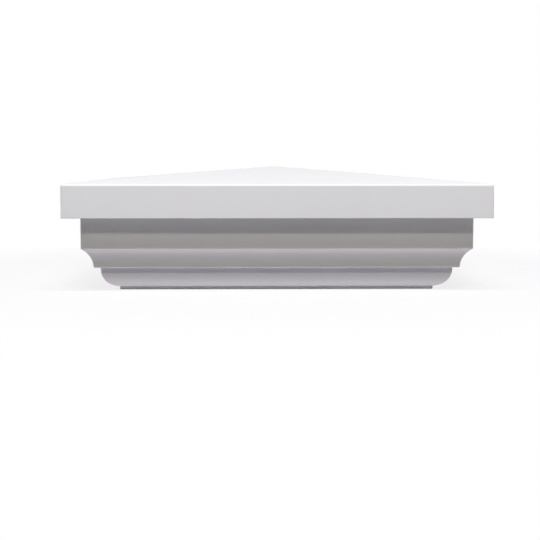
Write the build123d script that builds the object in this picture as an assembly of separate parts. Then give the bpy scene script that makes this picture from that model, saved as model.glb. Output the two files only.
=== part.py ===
"""Square post cap with a low pyramid roof over a cove and quarter-round bed moulding.

The cap is one hollow moulding in rigid white vinyl. It drops over the end of a
square post: the rim at the bottom closes round the post, fins inside guide it,
and the post's end stops against a cross of ribs under the roof.

Frame: millimetres, +Z up, origin at the centre of the rim's flat underside, so
the cap rests on z = 0. The four sides are alike, and X and Y each face a side.
"""

import os
from math import atan2, cos, radians, tan

from build123d import *

# Post and socket
post_width = 127.0  # nominal 5 in square post
socket_clearance = 0.8  # between the post and the socket, on each side
socket_depth = 40.0  # from the rim's underside up to the stop ribs
mouth_chamfer = 0.6  # lead-in round the socket's mouth

# Thickness of every outer wall and of the roof
wall = 2.4

# Outer form from the rim up: how far each tier stands out, and how tall it is
rim_land = 4.1  # flat width of the rim's underside
rim_height = 1.35
quarter_round_depth = 7.3
quarter_round_radius = 8.2  # a little over its depth, so it meets the rim at a slant
quarter_round_band = 0.75  # upright band above the quarter round
shadow_step = 2.7  # flat underside between the quarter round and the cove
cove_depth = 4.7
cove_height = 8.4
fascia_height = 13.25
slab_overhang = 7.1
slab_height = 14.3
slab_draft = 0.5  # degrees, so that the slab is widest at its foot
roof_rise = 7.2

# Rounded edges
corner_radius = 0.7  # where two neighbouring sides meet
eave_radius = 1.1  # along the slab's upper edge
slab_foot_radius = 0.2  # along the slab's lower edge
cove_foot_radius = 0.6  # along the cove's lower edge
rim_radius = 0.35  # along the rim's lower edge

# Ribs inside
stop_rib_thickness = 2.2
stop_rib_setback = 4.0  # from the socket's side to where the rib's foot turns up
stop_rib_run_out = 12.0  # length over which the foot rises to the roof
fin_thickness = 2.0
fin_spacing = 76.0  # between the two fins of one side

# Levels, from the rim's underside up
quarter_round_rise = (2 * quarter_round_radius * quarter_round_depth - quarter_round_depth**2) ** 0.5
quarter_round_top = rim_height + quarter_round_rise
step_level = quarter_round_top + quarter_round_band
fascia_foot = step_level + cove_height
slab_foot = fascia_foot + fascia_height
eave_level = slab_foot + slab_height
apex_level = eave_level + roof_rise

# Half widths, from the post out
socket_half = post_width / 2 + socket_clearance
rim_half = socket_half + rim_land
quarter_round_half = rim_half + quarter_round_depth
cove_foot_half = quarter_round_half + shadow_step
fascia_half = cove_foot_half + cove_depth
slab_half = fascia_half + slab_overhang
eave_half = slab_half - slab_height * tan(radians(slab_draft))

# The cove is upright at its foot and meets the fascia at an arris
cove_radius = (cove_depth**2 + cove_height**2) / (2 * cove_depth)

# Inside the quarter round, one wall thickness in, its arc ends level with the rim's side
round_inside_radius = quarter_round_radius - wall
lip_drop = (round_inside_radius**2 - (quarter_round_radius - quarter_round_depth) ** 2) ** 0.5
lip_top = quarter_round_top - lip_drop

margin = 5.0  # how far a cutting solid runs past what it cuts


def symmetric_face(right_half):
    """Face between a chain of edges from the centre line and its mirror image."""
    chain = Curve() + right_half
    return make_face((chain + mirror(chain, about=Plane.YZ)).edges())


def rounded_at(profile, half_width, level, radius):
    """The profile with its corner at (half_width, level), left and right, rounded."""
    places = [(half_width, level), (-half_width, level)]
    corners = [profile.vertices().sort_by_distance((x, y, 0))[0] for x, y in places]
    return fillet(corners, radius)


def four_sided(profile):
    """Solid whose four sides all have this profile, with mitred corners."""
    run = slab_half + margin
    one_way = extrude(Plane.XZ * profile, run, both=True)
    return one_way & one_way.rotate(Axis.Z, 90)


def mitre_edges(body):
    """Edges between two neighbouring sides, up to where the eave runs into the roof."""

    def on_mitre(edge):
        points = [edge @ t for t in (0, 0.3, 0.7, 1)]
        diagonal = all(abs(abs(p.X) - abs(p.Y)) < 1e-4 for p in points)
        return diagonal and min(p.Z for p in points) < eave_level - eave_radius / 10

    return body.edges().filter_by(on_mitre)


def arris_edges(body, half_width, level):
    """Edges that run round the body at this level, at its outside."""

    def on_arris(edge):
        reach = edge @ 0.5
        outside = max(abs(reach.X), abs(reach.Y)) > half_width - corner_radius
        return outside and all(abs((edge @ t).Z - level) < 1e-3 for t in (0, 0.3, 0.7, 1))

    return body.edges().filter_by(on_arris)


def moulding_and_roof():
    profile = symmetric_face(
        [
            Line((0, apex_level), (eave_half, eave_level)),
            Line((eave_half, eave_level), (slab_half, slab_foot)),
            Line((slab_half, slab_foot), (fascia_half, slab_foot)),
            Line((fascia_half, slab_foot), (fascia_half, fascia_foot)),
            RadiusArc((fascia_half, fascia_foot), (cove_foot_half, step_level), -cove_radius),
            Line((cove_foot_half, step_level), (quarter_round_half, step_level)),
            Line((quarter_round_half, step_level), (quarter_round_half, quarter_round_top)),
            RadiusArc(
                (quarter_round_half, quarter_round_top),
                (rim_half, rim_height),
                quarter_round_radius,
            ),
            Line((rim_half, rim_height), (0, rim_height)),
        ]
    )
    body = four_sided(rounded_at(profile, eave_half, eave_level, eave_radius))
    body = fillet(mitre_edges(body), corner_radius)
    body = fillet(arris_edges(body, slab_half, slab_foot), slab_foot_radius)
    return fillet(arris_edges(body, cove_foot_half, step_level), cove_foot_radius)


def rim():
    side = 2 * rim_half
    body = extrude(RectangleRounded(side, side, corner_radius), rim_height)
    return fillet(body.edges().group_by(Axis.Z)[0], rim_radius)


def hollow():
    """Space inside the walls: it follows the outer form one wall thickness in."""
    slope = atan2(roof_rise, eave_half)
    ceiling_apex = apex_level - wall / cos(slope)
    slab_inside = slab_half - wall
    ceiling_edge = ceiling_apex - slab_inside * tan(slope)
    fascia_inside = fascia_half - wall
    cove_centre = cove_foot_half + cove_radius
    cove_inside_radius = cove_radius + wall
    cove_inside_top = step_level + (cove_inside_radius**2 - (cove_centre - fascia_inside) ** 2) ** 0.5
    cove_inside_foot = cove_centre - (cove_inside_radius**2 - wall**2) ** 0.5
    band_inside = quarter_round_half - wall
    return four_sided(
        symmetric_face(
            [
                Line((0, ceiling_apex), (slab_inside, ceiling_edge)),
                Line((slab_inside, ceiling_edge), (slab_inside, slab_foot + wall)),
                Line((slab_inside, slab_foot + wall), (fascia_inside, slab_foot + wall)),
                Line((fascia_inside, slab_foot + wall), (fascia_inside, cove_inside_top)),
                RadiusArc(
                    (fascia_inside, cove_inside_top),
                    (cove_inside_foot, step_level + wall),
                    -cove_inside_radius,
                ),
                Line((cove_inside_foot, step_level + wall), (band_inside, step_level + wall)),
                Line((band_inside, step_level + wall), (band_inside, quarter_round_top)),
                RadiusArc(
                    (band_inside, quarter_round_top),
                    (rim_half, lip_top),
                    round_inside_radius,
                ),
                Line((rim_half, lip_top), (0, lip_top)),
            ]
        )
    )


def socket_mouth():
    """Square hole through the rim and its lip, with a lead-in for the post's end."""
    side = 2 * socket_half
    hole = Pos(0, 0, -margin) * extrude(Rectangle(side, side), margin + lip_top + wall)
    wide = side + 2 * mouth_chamfer
    lead_in = extrude(Rectangle(wide, wide), mouth_chamfer, taper=45)
    return hole + lead_in


def stop_ribs():
    """Cross of two ribs under the roof. The post's end bears on their level foot."""
    flat = socket_half - stop_rib_setback
    profile = symmetric_face(
        [
            Line((0, apex_level), (flat + stop_rib_run_out, apex_level)),
            Line((flat + stop_rib_run_out, apex_level), (flat + stop_rib_run_out, eave_level)),
            Line((flat + stop_rib_run_out, eave_level), (flat, socket_depth)),
            Line((flat, socket_depth), (0, socket_depth)),
        ]
    )
    rib = extrude(Plane.XZ * profile, stop_rib_thickness / 2, both=True)
    return rib + rib.rotate(Axis.Z, 90)


def fins():
    """Two upright fins on each side, from the lip to the roof, level with the socket."""
    depth = slab_half - wall / 2 - socket_half
    height = apex_level - lip_top
    plate = Pos(socket_half + depth / 2, 0, lip_top + height / 2) * Box(depth, fin_thickness, height)
    pair = [Pos(0, offset, 0) * plate for offset in (-fin_spacing / 2, fin_spacing / 2)]
    return Part() + [fin.rotate(Axis.Z, turn) for turn in (0, 90, 180, 270) for fin in pair]


def post_cap():
    inside = hollow() - stop_ribs() - fins()
    return moulding_and_roof() + rim() - inside - socket_mouth()


def main():
    os.makedirs("parts", exist_ok=True)
    cap = post_cap()
    cap.label = "post_cap"
    export_step(cap, "parts/post_cap.step")


main()
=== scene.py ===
"""Square post cap in white vinyl: one hollow moulding with a low pyramid roof.

The shell is a moulding profile carried round a square path. The ribs and fins
under it are plates with a rounded edge, carried along a line. Lengths are in
metres, +Z is up, and z = 0 is the flat underside of the rim.
"""

from math import cos, pi, radians, sin, sqrt, tan

import bmesh
import bpy
import numpy as np
from bpy.props import FloatProperty, FloatVectorProperty, PointerProperty
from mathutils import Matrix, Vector


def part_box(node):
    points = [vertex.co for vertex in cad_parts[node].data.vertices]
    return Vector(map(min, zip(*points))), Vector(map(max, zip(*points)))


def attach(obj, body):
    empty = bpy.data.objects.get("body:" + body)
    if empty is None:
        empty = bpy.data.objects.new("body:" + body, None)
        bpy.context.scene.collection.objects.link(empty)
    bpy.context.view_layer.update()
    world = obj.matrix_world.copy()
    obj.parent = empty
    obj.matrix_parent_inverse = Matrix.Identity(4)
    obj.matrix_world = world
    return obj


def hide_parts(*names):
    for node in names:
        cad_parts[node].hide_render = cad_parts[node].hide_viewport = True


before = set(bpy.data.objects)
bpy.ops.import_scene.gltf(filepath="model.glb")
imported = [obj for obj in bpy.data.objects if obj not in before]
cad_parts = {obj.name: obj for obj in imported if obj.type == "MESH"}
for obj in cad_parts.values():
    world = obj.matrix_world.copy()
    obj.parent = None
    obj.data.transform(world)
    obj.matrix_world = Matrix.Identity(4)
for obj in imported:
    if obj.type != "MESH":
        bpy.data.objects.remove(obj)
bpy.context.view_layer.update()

bl_info = {
    "name": "Square Post Cap",
    "version": (1, 0, 0),
    "blender": (4, 5, 0),
    "location": "3D View > Sidebar > Post Cap",
    "description": "Moulds a square vinyl post cap and sets up a plain studio round it",
    "category": "Add Mesh",
}

CAD_LOW, CAD_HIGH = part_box("post_cap")

MERGE_DISTANCE = 1e-7  # points that are closer than this are one point
SHARP_ANGLE = radians(32)  # an edge that turns more than this is shaded as sharp

FLOOR_HALF = 6.0  # half of the floor's side
FLOOR_GAP = 0.00002  # between the floor and the rim's underside
SHADOW_NEAR, SHADOW_FAR = 0.10, 0.26  # from the middle; the shadow fades to plain white between them
SHADOW_WHITE = 0.80  # share of plain white in the floor where its shadow shows most
LAMP_LIFT = 0.0004  # height of the lamps that lie on the floor
FRONT = Vector((0, -0.07, 0.03))  # what the two lamps high in front are aimed at


# Sizes and finishes that a user would change


def length(name, description, default):
    """A length in metres, shown in the units of the scene."""
    return FloatProperty(
        name=name, description=description, default=default, min=0.0, unit="LENGTH", precision=4
    )


def fraction(name, description, default):
    """A value from 0 to 1."""
    return FloatProperty(name=name, description=description, default=default, min=0.0, max=1.0)


def watts(name, description, default):
    """The power of a lamp."""
    return FloatProperty(
        name=name, description=description, default=default, min=0.0, unit="POWER", precision=5
    )


def tint(name, description, default):
    """A colour with parts from 0 to 1."""
    return FloatVectorProperty(
        name=name, description=description, default=default, subtype="COLOR", size=3, min=0.0, max=1.0
    )


class PostCapSizes(bpy.types.PropertyGroup):
    overall_width: length("Overall width", "Across the slab, the same both ways", CAD_HIGH.x - CAD_LOW.x)
    overall_height: length(
        "Overall height", "From the rim's underside to the roof's peak", CAD_HIGH.z - CAD_LOW.z
    )
    socket_width: length("Socket width", "Square hole that the post goes into", 0.1286)
    socket_depth: length("Socket depth", "From the rim's underside to the stop ribs", 0.040)
    wall: length("Wall", "Thickness of every outer wall and of the roof", 0.0024)
    mouth_chamfer: length("Mouth chamfer", "Lead-in round the socket's mouth", 0.0006)

    rim_land: length("Rim land", "Width of the rim, from the socket's side to its outer side", 0.0041)
    rim_height: length("Rim height", "Upright side of the rim", 0.00135)
    round_depth: length("Quarter round depth", "How far it stands out from the rim", 0.0073)
    round_radius: length("Quarter round radius", "A little over its depth", 0.0082)
    round_band: length("Band", "Upright band above the quarter round", 0.00075)
    shadow_step: length("Shadow step", "Flat underside below the cove", 0.0027)
    cove_depth: length("Cove depth", "How far the cove flares out", 0.0047)
    cove_height: length("Cove height", "From the step to the fascia", 0.0084)
    fascia_height: length("Fascia height", "From the cove to the slab", 0.01325)
    slab_draft: FloatProperty(
        name="Slab draft",
        description="Lean of the slab's sides, widest at the foot",
        default=radians(0.5),
        subtype="ANGLE",
    )
    roof_rise: length("Roof rise", "From the eave to the peak", 0.0072)

    corner_radius: length("Corner radius", "Where two neighbouring sides meet", 0.0007)
    eave_radius: length("Eave radius", "Rounding of the slab's upper edge", 0.0011)
    foot_radius: length("Slab foot radius", "Rounding of the slab's lower edge", 0.0002)
    cove_foot_radius: length("Cove foot radius", "Rounding of the cove's lower edge", 0.0006)
    rim_radius: length("Rim radius", "Rounding of the rim's lower edge", 0.00035)

    rib_thickness: length("Stop rib thickness", "Ribs that the post's end bears on", 0.0022)
    rib_setback: length("Stop rib setback", "From the socket's side to the rib's turn", 0.004)
    rib_run_out: length("Stop rib run-out", "Over which the foot rises to the roof", 0.012)
    fin_thickness: length("Fin thickness", "Fins that guide the post", 0.0020)
    fin_spacing: length("Fin spacing", "Between the two fins of one side", 0.076)
    ejector_width: length("Ejector mark width", "Round marks under the roof", 0.0050)
    ejector_height: length("Ejector mark height", "Their rims stand proud by 0.85 of it", 0.00012)


class PostCapFinish(bpy.types.PropertyGroup):
    vinyl_white: tint("Vinyl white", "Colour of the moulding", (0.89, 0.888, 0.90))
    vinyl_flow: tint("Vinyl flow tint", "Colour that the white drifts to", (0.87, 0.868, 0.875))
    face_roughness: fraction("Face roughness", "Satin of the outer faces", 0.45)
    core_roughness: fraction("Core roughness", "Matt of the inner faces", 0.55)


class PostCapStudio(bpy.types.PropertyGroup):
    floor_grey: fraction("Floor", "Grey of the floor as it is seen", 0.90)
    floor_bounce: fraction("Floor bounce", "Grey of the floor as it lights the cap", 0.05)
    softbox_power: watts("Overhead softbox", "Wide lamp high in front", 9.4)
    key_power: watts("Key lamp", "Small lamp lower in front", 4.6)
    softbox_tint: tint("Softbox tint", "Cool tint of the overhead softbox", (0.94, 0.945, 1.0))
    key_tint: tint("Key tint", "Warm tint of the key lamp", (1.0, 0.94, 0.84))
    strip_tint: tint("Strip tint", "Tint of the floor strips and the low strip", (0.97, 0.925, 1.0))
    strip_power: watts("Floor strips", "Lamps on the floor below the overhang", 0.0101)
    front_strip_power: watts("Front slab strip", "Thin lamp in front of the slab", 0.0019)
    low_strip_power: watts("Low strip", "Thin lamp in front of the lowest tiers", 0.00038)
    slab_strip_power: watts("Side slab strips", "Thin lamps beside the slab", 0.0105)
    socket_power: watts("Socket lamp", "Lamp on the floor inside the socket", 0.016)
    under_power: watts("Underfloor lamp", "Lamp that shines up through the floor", 0.044)
    side_power: watts("Side fill", "Lamps at the sides and the back", 3.0)
    sky_strength: FloatProperty(
        name="Sky", description="Even light from all round", default=0.01, min=0.0
    )


# Profiles: curves in the plane of half width (out) and level (up)


def rounded_corner(before, corner, after, radius, steps=6):
    """Arc that replaces a corner of a profile.

    It touches the two lines at radius / tan(half angle) from the corner. Its
    centre lies on the bisector at radius / sin(half angle), and its points
    turn about the centre in equal steps.
    """
    before, corner, after = (np.array(p, float) for p in (before, corner, after))
    back = (before - corner) / np.linalg.norm(before - corner)
    on = (after - corner) / np.linalg.norm(after - corner)
    half_angle = np.arccos(np.clip(back @ on, -1, 1)) / 2
    bisector = (back + on) / np.linalg.norm(back + on)
    centre = corner + bisector * radius / np.sin(half_angle)
    first = corner + back * radius / np.tan(half_angle) - centre
    last = corner + on * radius / np.tan(half_angle) - centre
    start = np.arctan2(first[1], first[0])
    turn = (np.arctan2(last[1], last[0]) - start + pi) % (2 * pi) - pi
    angles = start + turn * np.linspace(0, 1, steps + 1)
    return centre + radius * np.stack([np.cos(angles), np.sin(angles)], axis=1)


def arc(centre, radius, start, end, steps):
    """Points at one radius from the centre, from one angle to the other in equal steps."""
    angles = np.linspace(start, end, steps + 1)
    return np.array(centre) + radius * np.stack([np.cos(angles), np.sin(angles)], axis=1)


def with_holding_points(points, gap=0.00012, long_in_gaps=12):
    """The profile with a point just inside both ends of each long straight.

    They stand at the gap from the ends, so the shading of a flat face is not
    bent by the rounded edge beside it. A straight is long past 12 gaps.
    """
    ahead = np.roll(points, -1, axis=0) - points
    span = np.linalg.norm(ahead, axis=1, keepdims=True)
    least_span = 1e-12  # keeps a doubled point from dividing by nought
    step = ahead / np.maximum(span, least_span) * gap
    trio = np.stack([points, points + step, points + ahead - step], axis=1)
    long = span[:, 0] > long_in_gaps * gap
    long[-1] = False  # nothing is ahead of the last point
    keep = np.stack([np.ones_like(long), long, long], axis=1)
    return trio[keep]


class Levels:
    """Levels and half widths of the cap, added up from its sizes."""

    def __init__(self, s):
        round_rise = sqrt(2 * s.round_radius * s.round_depth - s.round_depth**2)
        self.round_top = s.rim_height + round_rise
        self.step = self.round_top + s.round_band
        self.fascia_foot = self.step + s.cove_height
        self.slab_foot = self.fascia_foot + s.fascia_height
        self.apex = s.overall_height
        self.eave = self.apex - s.roof_rise
        self.socket_half = s.socket_width / 2
        self.rim_half = self.socket_half + s.rim_land
        self.round_half = self.rim_half + s.round_depth
        self.cove_foot_half = self.round_half + s.shadow_step
        self.fascia_half = self.cove_foot_half + s.cove_depth
        self.slab_half = s.overall_width / 2
        self.eave_half = self.slab_half - (self.eave - self.slab_foot) * tan(s.slab_draft)
        self.cove_radius = (s.cove_depth**2 + s.cove_height**2) / (2 * s.cove_depth)
        self.roof_fall = s.roof_rise / self.eave_half
        self.ceiling_apex = self.apex - s.wall * sqrt(1 + self.roof_fall**2)
        inner_round = s.round_radius - s.wall
        self.lip_top = self.round_top - sqrt(inner_round**2 - (s.round_radius - s.round_depth) ** 2)
        self.sink = s.wall / 3  # how far ribs and fins run into the wall that they stand on

    def ceiling(self, x, y):
        """Level of the roof's underside: it falls from the peak with the larger of |x| and |y|."""
        return self.ceiling_apex - self.roof_fall * np.maximum(np.abs(x), np.abs(y))


def outer_profile(s, lv):
    """Outside of the moulding from the roof's peak down to the socket's mouth."""
    apex, eave = (0, lv.apex), (lv.eave_half, lv.eave)
    slab_foot, fascia_top = (lv.slab_half, lv.slab_foot), (lv.fascia_half, lv.slab_foot)
    cove_centre = (lv.cove_foot_half + lv.cove_radius, lv.step)
    cove_start = pi - np.arcsin(s.cove_height / lv.cove_radius)
    cove = arc(cove_centre, lv.cove_radius, cove_start, pi, 20)
    step_inner = (lv.round_half, lv.step)
    round_centre = (lv.round_half - s.round_radius, lv.round_top)
    round_end = -np.arccos(1 - s.round_depth / s.round_radius)
    quarter_round = arc(round_centre, s.round_radius, 0, round_end, 22)
    rim_foot = (lv.rim_half, 0)
    mouth = (lv.socket_half + s.mouth_chamfer, 0)
    return np.vstack(
        [
            apex,
            rounded_corner(apex, eave, slab_foot, s.eave_radius, 9),
            rounded_corner(eave, slab_foot, fascia_top, s.foot_radius, 5),
            fascia_top,
            cove[:-1],
            rounded_corner(cove[-2], cove[-1], step_inner, s.cove_foot_radius, 6),
            step_inner,
            quarter_round,
            rounded_corner(quarter_round[-1], rim_foot, mouth, s.rim_radius, 5),
            mouth,
            (lv.socket_half, s.mouth_chamfer),
        ]
    )


def inner_profile(s, lv):
    """Inside of the moulding from the socket's side up to the ceiling's peak.

    It starts with the lip's flat top. Above that, every line and arc lies one
    wall thickness in from the outside.
    """
    wall = s.wall
    fascia, slab = lv.fascia_half - wall, lv.slab_half - wall
    band = lv.round_half - wall
    round_centre = (lv.round_half - s.round_radius, lv.round_top)
    inner_round = s.round_radius - wall
    round_start = -np.arccos((s.round_radius - s.round_depth) / inner_round)
    cove_centre = (lv.cove_foot_half + lv.cove_radius, lv.step)
    inner_cove = lv.cove_radius + wall
    cove_low = pi - np.arcsin(wall / inner_cove)
    cove_high = pi - np.arccos((cove_centre[0] - fascia) / inner_cove)
    return np.vstack(
        [
            (lv.socket_half, lv.lip_top),
            arc(round_centre, inner_round, round_start, 0, 12),
            (band, lv.step + wall),
            arc(cove_centre, inner_cove, cove_low, cove_high, 12),
            (fascia, lv.slab_foot + wall),
            (slab, lv.slab_foot + wall),
            (slab, lv.ceiling_apex - lv.roof_fall * slab),
            (0, lv.ceiling_apex),
        ]
    )


# Surfaces: whole grids of points, and meshes made from them


def square_path(side_steps, corner_steps=6):
    """Path once round a square with rounded corners, as two arrays of plan vectors.

    The first says where the corner's centre lies, in half widths: it stays at
    (1, 1) while the path turns the corner and then runs to (-1, 1) along the
    side. The second is the direction that the path faces. The other three
    quarters are the first one turned by 90, 180 and 270 degrees.
    """
    turn = np.linspace(0, pi / 2, corner_steps + 1)
    hold = 0.003  # share of the side between a corner and the point that holds its shading
    along = np.concatenate([[hold], np.linspace(0, 1, side_steps + 1)[1:-1], [1 - hold]])
    centres = np.vstack(
        [np.ones((len(turn), 2)), np.stack([1 - 2 * along, np.ones_like(along)], axis=1)]
    )
    faces = np.vstack(
        [np.stack([np.cos(turn), np.sin(turn)], axis=1), np.tile([0.0, 1.0], (len(along), 1))]
    )
    turns = [np.array([[cos(a), sin(a)], [-sin(a), cos(a)]]) for a in np.arange(4) * pi / 2]
    return np.vstack([centres @ t for t in turns]), np.vstack([faces @ t for t in turns])


def carried_round_square(profile, corner_radius, side_steps):
    """Grid of the profile carried round a square.

    A point with half width h and level z becomes a rounded square: the
    corner's centre stands at (h - r) from the middle, r is the corner's
    radius, and the path's facing direction times r is added. Near the peak r
    is never more than h, so the square closes to a point.
    """
    centres, faces = square_path(side_steps)
    half = profile[:, 0, None, None]
    r = np.minimum(corner_radius, half)
    plan = centres[None] * (half - r) + faces[None] * r
    level = np.broadcast_to(profile[:, 1, None, None], (*plan.shape[:2], 1))
    return np.concatenate([plan, level], axis=2)


def carried_plate(stations, near, far, thickness, edge_radius, steps=5):
    """Grid of a plate with a rounded edge, as (station, across, depth).

    Across the plate the section runs from the far side down to the rounded
    edge at the near side and back. Depth is a share of near and a share of
    far at each station, plus the rounding, radius * (1 - sine of the turn).
    """
    turn = np.linspace(0, pi / 2, steps + 1)
    half = thickness / 2
    edge_across = half - edge_radius + edge_radius * np.cos(turn)
    edge_lift = edge_radius * (1 - np.sin(turn))
    across = np.concatenate([[-half], -edge_across, edge_across[::-1], [half]])
    lift = np.concatenate([[0], edge_lift, edge_lift[::-1], [0]])
    far_share = np.zeros_like(across)
    far_share[[0, -1]] = 1
    depth = near[:, None] + (far - near)[:, None] * far_share + np.sign(far - near)[:, None] * lift
    grid = [np.broadcast_to(stations[:, None], depth.shape), np.broadcast_to(across, depth.shape), depth]
    return np.stack(grid, axis=2)


def grid_faces(rows, columns, first):
    """Vertex numbers of the quads of a grid whose columns close on themselves.

    The point in a row and a column has the number first + row * columns + column.
    """
    row = np.arange(rows - 1)[:, None] * columns
    row_below = row + columns
    column = np.arange(columns)[None]
    beside = (column + 1) % columns
    corners = [row + column, row_below + column, row_below + beside, row + beside]
    return first + np.stack(corners, axis=2).reshape(-1, 4)


def mesh_from_grids(name, grids, caps=False):
    """One mesh from several grids, with doubled points merged and faces turned outwards.

    With caps, the first and the last row of each grid are closed by a face.
    """
    points, faces, first = [], [], 0
    for grid in grids:
        rows, columns = grid.shape[:2]
        points.append(grid.reshape(-1, 3))
        faces += grid_faces(rows, columns, first).tolist()
        if caps:
            faces.append(list(range(first, first + columns)))
            faces.append(list(range(first + (rows - 1) * columns, first + rows * columns))[::-1])
        first += rows * columns
    mesh = bpy.data.meshes.new(name)
    mesh.from_pydata(np.vstack(points).tolist(), [], faces)
    merge_and_turn_out(mesh)
    mesh.polygons.foreach_set("use_smooth", np.ones(len(mesh.polygons), bool))
    mesh.set_sharp_from_angle(angle=SHARP_ANGLE)
    mesh.update()
    return mesh


def merge_and_turn_out(mesh):
    """Merges points that lie on each other, and recalculates the normals outwards."""
    work = bmesh.new()
    work.from_mesh(mesh)
    bmesh.ops.remove_doubles(work, verts=work.verts, dist=MERGE_DISTANCE)
    bmesh.ops.recalc_face_normals(work, faces=work.faces)
    work.to_mesh(mesh)
    work.free()


def quarter_turns(grid):
    """The grid turned about Z by 0, 90, 180 and 270 degrees."""
    turned = []
    for quarter in range(4):
        c, s = round(cos(quarter * pi / 2)), round(sin(quarter * pi / 2))
        turn = np.array([[c, s, 0], [-s, c, 0], [0, 0, 1]], float)
        turned.append(grid @ turn)
    return turned


def add_piece(name, mesh, *materials):
    """Links a piece, puts it on the part's only body, and lets it stand for the CAD node."""
    for material in materials:
        mesh.materials.append(material)
    piece = bpy.data.objects.new(name, mesh)
    bpy.context.scene.collection.objects.link(piece)
    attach(piece, "root")
    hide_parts("post_cap")
    return piece


# Materials


def node(tree, kind, x, y, **values):
    """A new node at a place in the tree. Values name attributes or, failing that, inputs."""
    made = tree.nodes.new(kind)
    made.location = (x, y)
    for key, value in values.items():
        if hasattr(made, key):
            setattr(made, key, value)
        else:
            made.inputs[key.replace("_", " ")].default_value = value
    return made


def moulded_grain():
    """Group for the surface of moulded vinyl, in object coordinates.

    Fine noise at the grain size stands for the tool's texture. Wide, stretched
    noise stands for the flow of the melt. Out come a flow mask, a roughness
    and a bump height. The roughness is the one that goes in, plus the spread
    times (half of each noise - 0.5).
    """
    if "moulded_grain" in bpy.data.node_groups:
        return bpy.data.node_groups["moulded_grain"]
    group = bpy.data.node_groups.new("moulded_grain", "ShaderNodeTree")
    sockets = group.interface
    for name, default in (("Grain Scale", 900.0), ("Roughness", 0.36), ("Roughness Spread", 0.05)):
        made = sockets.new_socket(name=name, in_out="INPUT", socket_type="NodeSocketFloat")
        made.default_value = default
    for name in ("Flow", "Roughness", "Height"):
        sockets.new_socket(name=name, in_out="OUTPUT", socket_type="NodeSocketFloat")
    inputs = node(group, "NodeGroupInput", -900, 0)
    outputs = node(group, "NodeGroupOutput", 700, 0)
    place = node(group, "ShaderNodeTexCoord", -900, 300)
    link = group.links.new

    grain = node(group, "ShaderNodeTexNoise", -500, 250, Detail=3.0, Roughness=0.55)
    link(place.outputs["Object"], grain.inputs["Vector"])
    link(inputs.outputs["Grain Scale"], grain.inputs["Scale"])

    stretch = node(group, "ShaderNodeMapping", -700, -50)
    stretch.inputs["Scale"].default_value = (1.0, 1.0, 2.2)
    link(place.outputs["Object"], stretch.inputs["Vector"])
    flow = node(group, "ShaderNodeTexNoise", -500, -50, Scale=14.0, Detail=4.0, Roughness=0.5)
    flow.inputs["Distortion"].default_value = 0.6
    link(stretch.outputs["Vector"], flow.inputs["Vector"])
    mask = node(group, "ShaderNodeMapRange", -250, -50)
    mask.inputs["From Min"].default_value = 0.35
    mask.inputs["From Max"].default_value = 0.70
    link(flow.outputs["Fac"], mask.inputs["Value"])

    mixed = node(group, "ShaderNodeMath", -250, 250, operation="MULTIPLY_ADD")
    mixed.inputs[1].default_value = 0.5
    link(grain.outputs["Fac"], mixed.inputs[0])
    half_flow = node(group, "ShaderNodeMath", -250, 100, operation="MULTIPLY")
    half_flow.inputs[1].default_value = 0.5
    link(flow.outputs["Fac"], half_flow.inputs[0])
    link(half_flow.outputs[0], mixed.inputs[2])

    centred = node(group, "ShaderNodeMath", 0, 200, operation="SUBTRACT")
    centred.inputs[1].default_value = 0.5
    link(mixed.outputs[0], centred.inputs[0])
    spread = node(group, "ShaderNodeMath", 200, 200, operation="MULTIPLY_ADD")
    link(centred.outputs[0], spread.inputs[0])
    link(inputs.outputs["Roughness Spread"], spread.inputs[1])
    link(inputs.outputs["Roughness"], spread.inputs[2])

    link(mask.outputs["Result"], outputs.inputs["Flow"])
    link(spread.outputs[0], outputs.inputs["Roughness"])
    link(grain.outputs["Fac"], outputs.inputs["Height"])
    return group


def vinyl(name, finish, roughness, grain_scale, grain_depth):
    """White rigid vinyl: opaque, with a drift of tint, and a bump of the given depth in metres."""
    if name in bpy.data.materials:
        return bpy.data.materials[name]
    material = bpy.data.materials.new(name)
    material.use_nodes = True
    tree = material.node_tree
    shader = tree.nodes["Principled BSDF"]
    shader.inputs["IOR"].default_value = 1.53
    grain = node(tree, "ShaderNodeGroup", -700, 0)
    grain.node_tree = moulded_grain()
    grain.inputs["Grain Scale"].default_value = grain_scale
    grain.inputs["Roughness"].default_value = roughness
    grain.inputs["Roughness Spread"].default_value = 0.12
    drift = node(tree, "ShaderNodeMix", -350, 150, data_type="RGBA")
    drift.inputs["A"].default_value = (*finish.vinyl_white, 1.0)
    drift.inputs["B"].default_value = (*finish.vinyl_flow, 1.0)
    bump = node(tree, "ShaderNodeBump", -350, -200, Strength=1.0, Distance=grain_depth)
    link = tree.links.new
    link(grain.outputs["Flow"], drift.inputs["Factor"])
    link(drift.outputs["Result"], shader.inputs["Base Color"])
    link(grain.outputs["Roughness"], shader.inputs["Roughness"])
    link(grain.outputs["Height"], bump.inputs["Height"])
    link(bump.outputs["Normal"], shader.inputs["Normal"])
    return material


def face_vinyl(finish):
    """The outer faces: a fine, shallow grain."""
    return vinyl("vinyl_face", finish, finish.face_roughness, grain_scale=1400.0, grain_depth=0.000004)


def core_vinyl(finish):
    """The inner faces: a coarser grain and a duller finish."""
    return vinyl("vinyl_core", finish, finish.core_roughness, grain_scale=700.0, grain_depth=0.000015)


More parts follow.
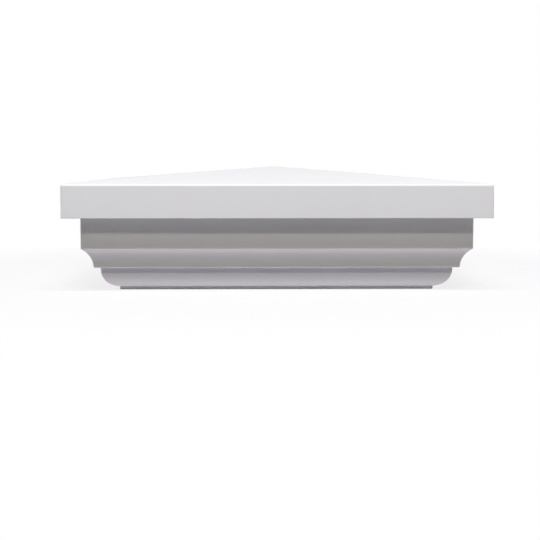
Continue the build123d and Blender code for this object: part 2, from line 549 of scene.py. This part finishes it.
def studio_white(studio):
    """Pale floor that is near white to the camera and in gloss, and keeps the cap's shadow.

    Those rays see the lit floor mixed with plain white light, and white alone
    from a quarter of a metre out. Diffuse rays see a darker floor, so that
    little light comes back up from it. From below the camera looks through it,
    and the light of the lamp under the floor passes it too.
    """
    material = bpy.data.materials.new("studio_white")
    material.use_nodes = True
    tree = material.node_tree
    tree.nodes.clear()
    out = node(tree, "ShaderNodeOutputMaterial", 950, 0)
    grey = node(tree, "ShaderNodeMapRange", 0, -150)
    grey.inputs["To Min"].default_value = studio.floor_bounce
    grey.inputs["To Max"].default_value = studio.floor_grey
    lit = node(tree, "ShaderNodeBsdfDiffuse", 200, -150)
    white = node(tree, "ShaderNodeEmission", 200, 50)
    path = node(tree, "ShaderNodeLightPath", -700, 400)
    seen = seen_ray(tree, path, -450, 400)
    place = node(tree, "ShaderNodeTexCoord", -900, -50)
    reach = node(tree, "ShaderNodeVectorMath", -700, -50, operation="LENGTH")
    white_share = node(tree, "ShaderNodeMapRange", -450, 0)
    white_share.interpolation_type = "SMOOTHSTEP"
    white_share.inputs["From Min"].default_value = SHADOW_NEAR
    white_share.inputs["From Max"].default_value = SHADOW_FAR
    white_share.inputs["To Min"].default_value = SHADOW_WHITE
    share = node(tree, "ShaderNodeMath", 200, 250, operation="MULTIPLY")
    mix = node(tree, "ShaderNodeMixShader", 450, 0)
    side = node(tree, "ShaderNodeNewGeometry", 200, 500)
    from_below = node(tree, "ShaderNodeMath", 450, 400, operation="MULTIPLY")
    let_through = node(tree, "ShaderNodeMath", 650, 400, operation="MAXIMUM")
    clear = node(tree, "ShaderNodeBsdfTransparent", 450, -200)
    see_through = node(tree, "ShaderNodeMixShader", 700, 0)
    link = tree.links.new
    link(seen, grey.inputs["Value"])
    link(grey.outputs["Result"], lit.inputs["Color"])
    link(place.outputs["Object"], reach.inputs[0])
    link(reach.outputs["Value"], white_share.inputs["Value"])
    link(seen, share.inputs[0])
    link(white_share.outputs["Result"], share.inputs[1])
    link(share.outputs[0], mix.inputs["Fac"])
    link(lit.outputs[0], mix.inputs[1])
    link(white.outputs[0], mix.inputs[2])
    link(mix.outputs[0], see_through.inputs[1])
    link(clear.outputs[0], see_through.inputs[2])
    link(side.outputs["Backfacing"], from_below.inputs[0])
    link(path.outputs["Is Camera Ray"], from_below.inputs[1])
    link(from_below.outputs[0], let_through.inputs[0])
    link(path.outputs["Is Shadow Ray"], let_through.inputs[1])
    link(let_through.outputs[0], see_through.inputs["Fac"])
    link(see_through.outputs[0], out.inputs["Surface"])
    return material


def seen_ray(tree, path, x, y):
    """1 for a camera, glossy or transmission ray, and 0 for the others."""
    total = path.outputs["Is Camera Ray"]
    for step, name in enumerate(("Is Glossy Ray", "Is Transmission Ray")):
        larger = node(tree, "ShaderNodeMath", x + 180 * step, y, operation="MAXIMUM")
        tree.links.new(total, larger.inputs[0])
        tree.links.new(path.outputs[name], larger.inputs[1])
        total = larger.outputs[0]
    return total


# Operators: one for each piece, and one for the studio


class POSTCAP_OT_shell(bpy.types.Operator):
    """Mould the shell: the moulding's profile, outside and inside, carried round a square"""

    bl_idname = "postcap.shell"
    bl_label = "Mould Shell"

    def execute(self, context):
        sizes, finish = context.scene.post_cap_sizes, context.scene.post_cap_finish
        levels = Levels(sizes)
        outside = with_holding_points(outer_profile(sizes, levels))
        inside = with_holding_points(inner_profile(sizes, levels))
        profile = np.vstack([outside, inside])
        grid = carried_round_square(profile, sizes.corner_radius, side_steps=9)
        mesh = mesh_from_grids("shell", [grid])
        add_piece("shell", mesh, face_vinyl(finish), core_vinyl(finish))
        give_core_finish(mesh, levels)
        return {"FINISHED"}


def give_core_finish(mesh, levels):
    """Second material on the faces inside.

    A face is inside if its normal points inwards, if it looks down from above
    the slab's foot, or if it looks up from the slab's inner floor or below.
    """
    inwards, level_face = -0.05, 0.5
    above_foot = levels.slab_foot + 0.001
    above_floor = levels.slab_foot + 0.005
    centre = np.empty(len(mesh.polygons) * 3)
    normal = np.empty(len(mesh.polygons) * 3)
    mesh.polygons.foreach_get("center", centre)
    mesh.polygons.foreach_get("normal", normal)
    centre, normal = centre.reshape(-1, 3), normal.reshape(-1, 3)
    along_x = np.abs(centre[:, 0]) >= np.abs(centre[:, 1])
    away = normal[:, :2] * np.sign(centre[:, :2])
    facing_out = np.where(along_x, away[:, 0], away[:, 1])
    under_roof = (normal[:, 2] < -level_face) & (centre[:, 2] > above_foot)
    inner_ledges = (normal[:, 2] > level_face) & (centre[:, 2] < above_floor)
    inside = (facing_out < inwards) | under_roof | inner_ledges
    mesh.polygons.foreach_set("material_index", inside.astype(np.int32))
    mesh.update()


class POSTCAP_OT_stop_ribs(bpy.types.Operator):
    """Mould the cross of two ribs that stops the post's end"""

    bl_idname = "postcap.stop_ribs"
    bl_label = "Mould Stop Ribs"

    def execute(self, context):
        sizes, finish = context.scene.post_cap_sizes, context.scene.post_cap_finish
        levels = Levels(sizes)
        level_end = levels.socket_half - sizes.rib_setback
        rise = (levels.eave - sizes.socket_depth) / sizes.rib_run_out
        edge_radius, least_depth = 0.00025, 0.0001

        def rib(stations):
            """Rib along X. Its foot is level, and past the level end it rises to the roof."""
            foot = sizes.socket_depth + rise * np.maximum(np.abs(stations) - level_end, 0)
            top = levels.ceiling(stations, 0) + levels.sink
            foot = np.minimum(foot, top - least_depth)
            return carried_plate(stations, foot, top, sizes.rib_thickness, edge_radius)

        level = np.linspace(0, level_end, 9)[1:]
        run = np.concatenate([level, level_end + np.linspace(0, sizes.rib_run_out, 7)[1:]])
        whole = rib(np.concatenate([-run[::-1], [0], run]))
        arm = rib(np.concatenate([[sizes.rib_thickness / 2 - edge_radius], run]))
        mesh = mesh_from_grids("stop_ribs", [whole] + quarter_turns(arm)[1::2], caps=True)
        add_piece("stop_ribs", mesh, core_vinyl(finish))
        return {"FINISHED"}


class POSTCAP_OT_fins(bpy.types.Operator):
    """Mould the eight fins that guide the post, from the lip up to the roof"""

    bl_idname = "postcap.fins"
    bl_label = "Mould Fins"

    def execute(self, context):
        sizes, finish = context.scene.post_cap_sizes, context.scene.post_cap_finish
        levels = Levels(sizes)
        edge_radius = 0.0002
        foot_drop, foot_setback = 0.0004, 0.0006  # they put the fin's foot inside the lip
        least_rise = 1e-6  # over the whole wall, so that no two stations share a height
        roof_level = levels.ceiling(levels.socket_half, 0) + levels.sink
        wall_line = inner_profile(sizes, levels)[:-2]
        wall_line[:, 1] += np.linspace(0, least_rise, len(wall_line))
        heights = np.append(wall_line[:, 1], roof_level)
        heights[0] -= foot_drop
        far = np.append(wall_line[:, 0], wall_line[-1, 0]) + levels.sink
        near = np.full_like(far, levels.socket_half)
        near[0] += foot_setback
        plate = carried_plate(heights, near, far, sizes.fin_thickness, edge_radius)
        upright = plate[..., ::-1].copy()
        roof = levels.ceiling(upright[..., 0], 0) + levels.sink
        upright[..., 2] = np.minimum(upright[..., 2], roof)
        offset = np.array([0, sizes.fin_spacing / 2, 0])
        fins = quarter_turns(upright + offset) + quarter_turns(upright - offset)
        mesh = mesh_from_grids("fins", fins, caps=True)
        add_piece("fins", mesh, core_vinyl(finish))
        return {"FINISHED"}


class POSTCAP_OT_ejector_marks(bpy.types.Operator):
    """Mould the round marks that the ejector pins leave under the roof"""

    bl_idname = "postcap.ejector_marks"
    bl_label = "Mould Ejector Marks"

    def execute(self, context):
        """A mark is a disc whose depth below the ceiling depends on the distance from its middle.

        It has a slight rim, and its last three rings are inside the roof.
        """
        sizes, finish = context.scene.post_cap_sizes, context.scene.post_cap_finish
        levels = Levels(sizes)
        radius = np.array([0, 0.55, 0.90, 0.97, 1.0, 1.0, 0.5, 0]) * sizes.ejector_width / 2
        drop = np.array([0.7, 0.7, 0.85, 0.6, 0.0, -3.0, -3.0, -3.0]) * sizes.ejector_height
        angles = np.linspace(0, 2 * pi, 40, endpoint=False)
        ring = np.stack([np.cos(angles), np.sin(angles)], axis=1)
        spots = ((0.022, 0.046), (0.046, 0.022))  # of the two marks in each quarter
        grids = []
        for spot in spots:
            plan = np.array(spot) + radius[:, None, None] * ring[None]
            level = levels.ceiling(plan[..., 0], plan[..., 1]) - drop[:, None]
            grids += quarter_turns(np.concatenate([plan, level[..., None]], axis=2))
        mesh = mesh_from_grids("ejector_marks", grids)
        add_piece("ejector_marks", mesh, core_vinyl(finish))
        return {"FINISHED"}


class POSTCAP_OT_studio(bpy.types.Operator):
    """Set up the floor, the lamps, the sky and the camera"""

    bl_idname = "postcap.studio"
    bl_label = "Set Up Studio"

    def execute(self, context):
        studio = context.scene.post_cap_studio
        studio_floor(studio)
        overhead_softbox(studio)
        key_lamp(studio)
        for turn in (0, 90, 180, 270):
            floor_strip(turn, studio)
            slab_strip(turn, studio)
        low_strip(studio)
        upward_lamp("socket_lamp", width=0.10, level=LAMP_LIFT, power=studio.socket_power)
        upward_lamp("underfloor_lamp", width=0.17, level=-0.10, power=studio.under_power)
        for turn in (90, 180, 270):
            side_fill(turn, studio)
        even_sky(context.scene, studio.sky_strength)
        aim_camera(context.scene)
        context.scene.view_settings.view_transform = "Standard"
        return {"FINISHED"}


def studio_floor(studio):
    """Level floor, a grid of five by five points just under the rim."""
    count = 5
    line = np.linspace(-FLOOR_HALF, FLOOR_HALF, count)
    x, y = np.meshgrid(line, line)
    points = np.stack([x, y, np.full_like(x, -FLOOR_GAP)], axis=2).reshape(-1, 3)
    first = np.arange(count - 1)[:, None] * count + np.arange(count - 1)[None]
    corners = [first, first + 1, first + count + 1, first + count]
    faces = np.stack(corners, axis=2).reshape(-1, 4)
    mesh = bpy.data.meshes.new("floor")
    mesh.from_pydata(points.tolist(), [], faces.tolist())
    mesh.materials.append(studio_white(studio))
    floor = bpy.data.objects.new("floor", mesh)
    bpy.context.scene.collection.objects.link(floor)
    return floor


def area_lamp(name, size, power):
    """Rectangular area lamp that the camera doesn't see."""
    data = bpy.data.lights.new(name, "AREA")
    data.shape = "RECTANGLE"
    data.size, data.size_y = size
    data.energy = power
    made = bpy.data.objects.new(name, data)
    made.visible_camera = False
    bpy.context.scene.collection.objects.link(made)
    return made


def aimed_lamp(name, middle, turn, elevation, distance, size, power):
    """Area lamp at a distance from the middle, turned round it from the front, and aimed at it.

    The two angles are in degrees. Out from the middle the lamp lies along
    (sin turn * cos rise, -cos turn * cos rise, sin rise).
    """
    turn, rise = radians(turn), radians(elevation)
    out = Vector((sin(turn) * cos(rise), -cos(turn) * cos(rise), sin(rise)))
    made = area_lamp(name, size, power)
    made.location = middle + out * distance
    made.rotation_euler = out.to_track_quat("Z", "Y").to_euler()
    return made


def overhead_softbox(studio):
    """Wide, shallow lamp high in front: it lights the roof, and the slab's front at a slant."""
    made = aimed_lamp(
        "overhead_softbox",
        middle=FRONT,
        turn=0,
        elevation=61.5,
        distance=1.0,
        size=(0.8, 0.06),
        power=studio.softbox_power,
    )
    made.data.color = studio.softbox_tint
    return made


def key_lamp(studio):
    """Small lamp lower in front: the slab keeps it off the upper half of the fascia."""
    made = aimed_lamp(
        "key_lamp",
        middle=FRONT,
        turn=2,
        elevation=43.3,
        distance=1.4,
        size=(0.16, 0.16),
        power=studio.key_power,
    )
    made.data.color = studio.key_tint
    return made


def side_fill(turn, studio):
    """Long, low lamp at a side or at the back, which no glossy ray sees."""
    made = aimed_lamp(
        f"side_fill_{turn}",
        middle=Vector((0, 0, 0.03)),
        turn=turn,
        elevation=3,
        distance=1.5,
        size=(0.9, 0.14),
        power=studio.side_power,
    )
    made.visible_glossy = False
    return made


def upward_lamp(name, width, level, power):
    """Square lamp below the middle of the cap that shines straight up."""
    made = area_lamp(name, (width, width), power)
    made.location.z = level
    made.rotation_euler.x = pi
    return made


def outward(turn):
    """Level vector of length 1 out from the middle, turned from the front, in radians."""
    return Vector((sin(turn), -cos(turn), 0))


def floor_strip(turn, studio):
    """Lamp that lies on the floor along one side and shines up, as a reflector does.

    It reaches from near to far out from the middle. The front one and the back
    one run the full width, and the other two fit between them. The front one
    is by far the strongest.
    """
    near, far = 0.068, 0.104
    half_length = far if turn in (0, 180) else near
    strength = 1.0 if turn == 0 else 0.12
    power = studio.strip_power * half_length / far * strength
    made = area_lamp(f"floor_strip_{turn}", (2 * half_length, far - near), power)
    made.data.spread = radians(70)
    made.data.color = studio.strip_tint
    turn = radians(turn)
    made.location = outward(turn) * (near + far) / 2 + Vector((0, 0, LAMP_LIFT))
    made.rotation_euler = (pi, 0, turn)
    return made


def standing_strip(name, turn, distance, level, size, power):
    """Thin lamp that stands upright at a distance from the middle and faces the cap."""
    made = area_lamp(name, size, power)
    made.visible_glossy = False
    turn = radians(turn)
    made.location = outward(turn) * distance + Vector((0, 0, level))
    made.rotation_euler = (pi / 2, 0, turn)
    return made


def slab_strip(turn, studio):
    """Standing strip beside the slab, level with it.

    It is below the roof's plane, so the roof gets none of its light, and the
    slab's foot keeps it off the fascia's upper edge. The one in front is
    nearer, longer and weaker, because the lamps in front light the slab
    already. The one at the back is a little weaker than those at the sides.
    """
    level, height = 0.0425, 0.006
    gap, width, power = 0.030, 0.17, studio.slab_strip_power
    if turn == 0:
        gap, width, power = 0.018, 0.24, studio.front_strip_power
    if turn == 180:
        power *= 0.7
    return standing_strip(
        f"slab_strip_{turn}", turn, CAD_HIGH.x + gap, level, size=(width, height), power=power
    )


def low_strip(studio):
    """Standing strip in front, just over the floor, with a narrow beam for the lowest tiers."""
    made = standing_strip(
        "low_strip", turn=0, distance=0.12, level=0.0052, size=(0.24, 0.004), power=studio.low_strip_power
    )
    made.data.spread = radians(23)
    made.data.color = studio.strip_tint
    return made


def even_sky(scene, strength):
    """World that is plain white to the camera and in gloss, and a soft even fill otherwise."""
    world = bpy.data.worlds.new("even_sky")
    scene.world = world
    world.use_nodes = True
    tree = world.node_tree
    background = tree.nodes["Background"]
    background.inputs["Color"].default_value = (1.0, 1.0, 1.0, 1.0)
    path = node(tree, "ShaderNodeLightPath", -700, 0)
    seen = seen_ray(tree, path, -450, 0)
    strengths = node(tree, "ShaderNodeMapRange", 0, 0)
    strengths.inputs["To Min"].default_value = strength
    strengths.inputs["To Max"].default_value = 1.0
    tree.links.new(seen, strengths.inputs["Value"])
    tree.links.new(strengths.outputs["Result"], background.inputs["Strength"])


def aim_camera(scene):
    """Camera in front, just above the peak's level and left of the middle, looking slightly down."""
    pitch_down, yaw_right = radians(5.27), radians(1.03)
    data = bpy.data.cameras.new("camera")
    data.sensor_width = 36.0
    data.lens = 76.73
    data.clip_start = 0.01
    made = bpy.data.objects.new("camera", data)
    made.location = (-0.0119, -0.5684, 0.0545)
    made.rotation_euler = (pi / 2 - pitch_down, 0, -yaw_right)
    scene.collection.objects.link(made)
    scene.camera = made


class POSTCAP_PT_panel(bpy.types.Panel):
    """Sizes, finishes and steps of the post cap"""

    bl_idname = "POSTCAP_PT_panel"
    bl_label = "Post Cap"
    bl_space_type = "VIEW_3D"
    bl_region_type = "UI"
    bl_category = "Post Cap"

    def draw(self, context):
        groups = (
            ("Sizes", context.scene.post_cap_sizes),
            ("Finish", context.scene.post_cap_finish),
            ("Studio", context.scene.post_cap_studio),
        )
        for title, group in groups:
            box = self.layout.box()
            box.label(text=title)
            for name in group.__annotations__:
                box.prop(group, name)
        for step in STEPS:
            self.layout.operator(step.bl_idname)


STEPS = (
    POSTCAP_OT_shell,
    POSTCAP_OT_stop_ribs,
    POSTCAP_OT_fins,
    POSTCAP_OT_ejector_marks,
    POSTCAP_OT_studio,
)
GROUPS = {
    "post_cap_sizes": PostCapSizes,
    "post_cap_finish": PostCapFinish,
    "post_cap_studio": PostCapStudio,
}


def register():
    for group in GROUPS.values():
        bpy.utils.register_class(group)
    for name, group in GROUPS.items():
        setattr(bpy.types.Scene, name, PointerProperty(type=group))
    for step in STEPS:
        bpy.utils.register_class(step)
    bpy.utils.register_class(POSTCAP_PT_panel)


def unregister():
    bpy.utils.unregister_class(POSTCAP_PT_panel)
    for step in reversed(STEPS):
        bpy.utils.unregister_class(step)
    for name in GROUPS:
        delattr(bpy.types.Scene, name)
    for group in reversed(GROUPS.values()):
        bpy.utils.unregister_class(group)


def main():
    register()
    bpy.ops.postcap.shell()
    bpy.ops.postcap.stop_ribs()
    bpy.ops.postcap.fins()
    bpy.ops.postcap.ejector_marks()
    bpy.ops.postcap.studio()
    bpy.context.view_layer.update()


if __name__ == "__main__":
    main()
